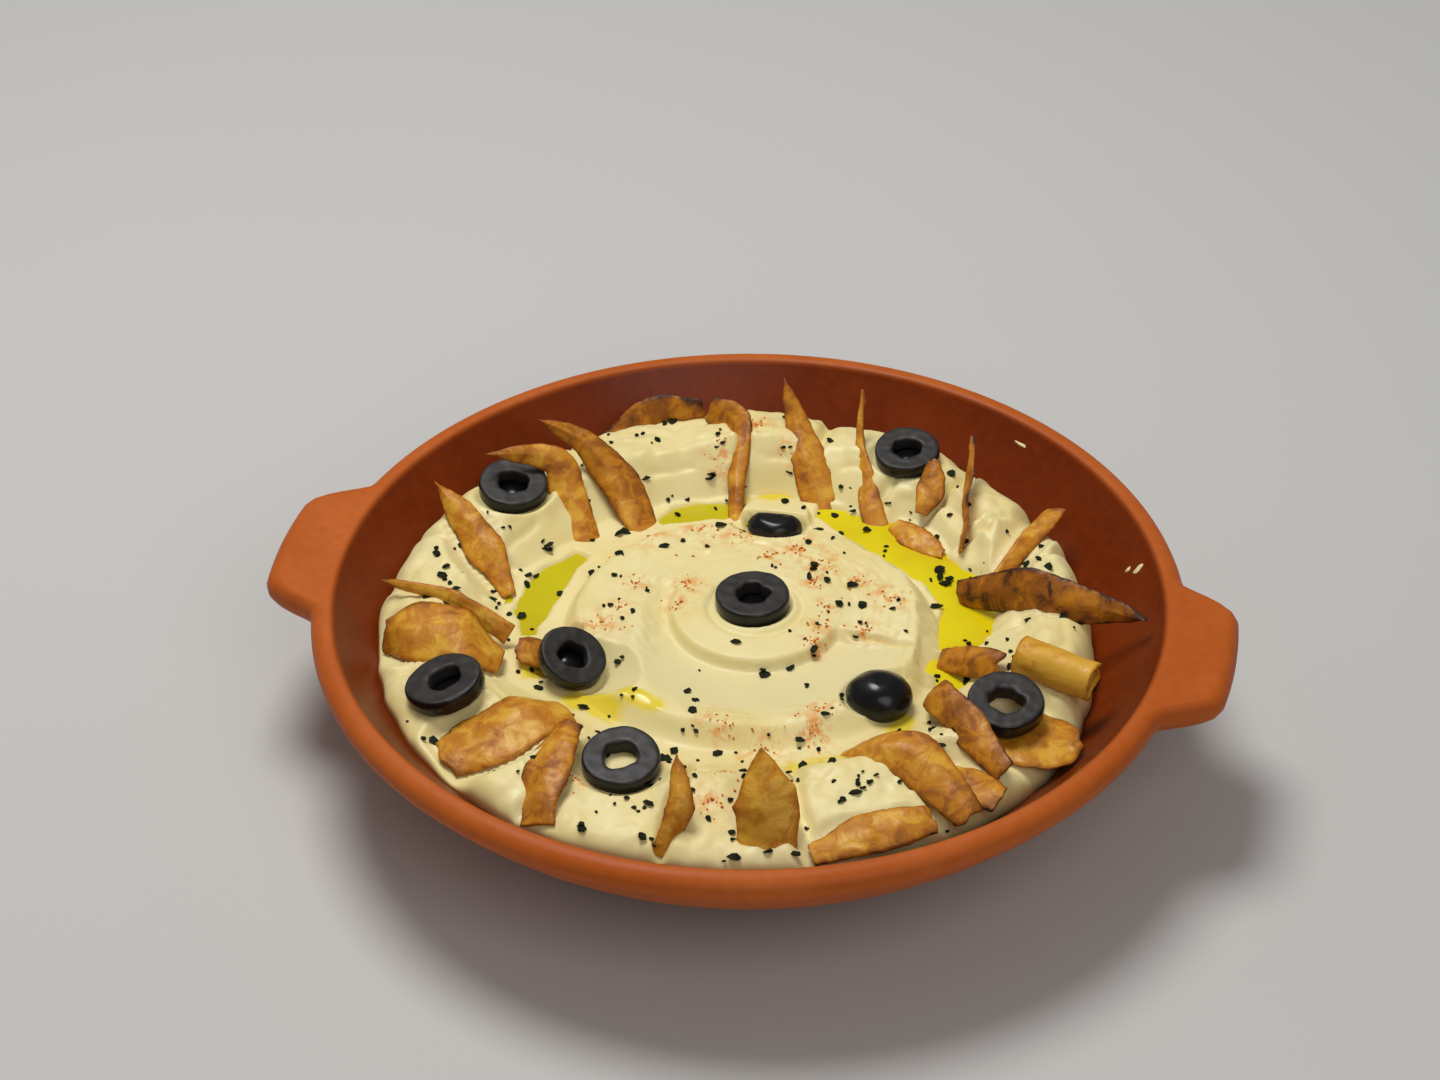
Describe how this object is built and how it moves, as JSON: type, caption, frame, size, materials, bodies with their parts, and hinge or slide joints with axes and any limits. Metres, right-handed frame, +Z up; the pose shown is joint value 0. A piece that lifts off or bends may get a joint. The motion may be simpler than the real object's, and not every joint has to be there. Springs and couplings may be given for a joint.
{
  "type": "dish of hummus",
  "caption": "Hummus in a round two-eared terracotta dish, with olive slices, shards of fried flatbread and pools of olive oil.",
  "frame": {"origin": "centre of the dish's base, on the table", "axes": "+Z up, +X towards one ear, -Y towards the served side"},
  "size_m": [0.223, 0.2, 0.0547],
  "materials": {
    "terracotta": "satin fired clay, glossier and darker inside",
    "hummus": "moist cream-coloured chickpea paste with soft spoon marks",
    "olive_oil": "glossy yellow-green olive oil",
    "olive": "moist black olive with a dull cut face",
    "fried_bread": "crisp golden brown fried flatbread with dark blisters"
  },
  "bodies": {
    "root": {"chip_back_arch": "fried_bread", "chip_back_blade": "fried_bread", "chip_back_left_arch": "fried_bread", "chip_back_left_blade": "fried_bread", "chip_back_low": "fried_bread", "chip_back_right_blade": "fried_bread", "chip_back_right_small": "fried_bread", "chip_back_twist": "fried_bread", "chip_far_left": "fried_bread", "chip_front_blade": "fried_bread", "chip_front_left": "fried_bread", "chip_front_right": "fried_bread", "chip_front_rim": "fried_bread", "chip_front_shard": "fried_bread", "chip_left_base": "fried_bread", "chip_left_large": "fried_bread", "chip_left_long": "fried_bread", "chip_left_under": "fried_bread", "chip_oil_edge": "fried_bread", "chip_right_dark": "fried_bread", "chip_right_flat": "fried_bread", "chip_right_fold": "fried_bread", "chip_right_layer": "fried_bread", "chip_right_long": "fried_bread", "chip_right_roll": "fried_bread", "chip_right_under": "fried_bread", "dish": "terracotta", "hummus": "hummus", "oil_back": "olive_oil", "oil_left": "olive_oil", "oil_right": "olive_oil", "oil_right_front": "olive_oil", "olive_back_left": "olive", "olive_back_right": "olive", "olive_centre": "olive", "olive_end_back": "olive", "olive_end_front": "olive", "olive_front": "olive", "olive_front_left": "olive", "olive_left": "olive", "olive_right": "olive"}
  },
  "joints": []
}
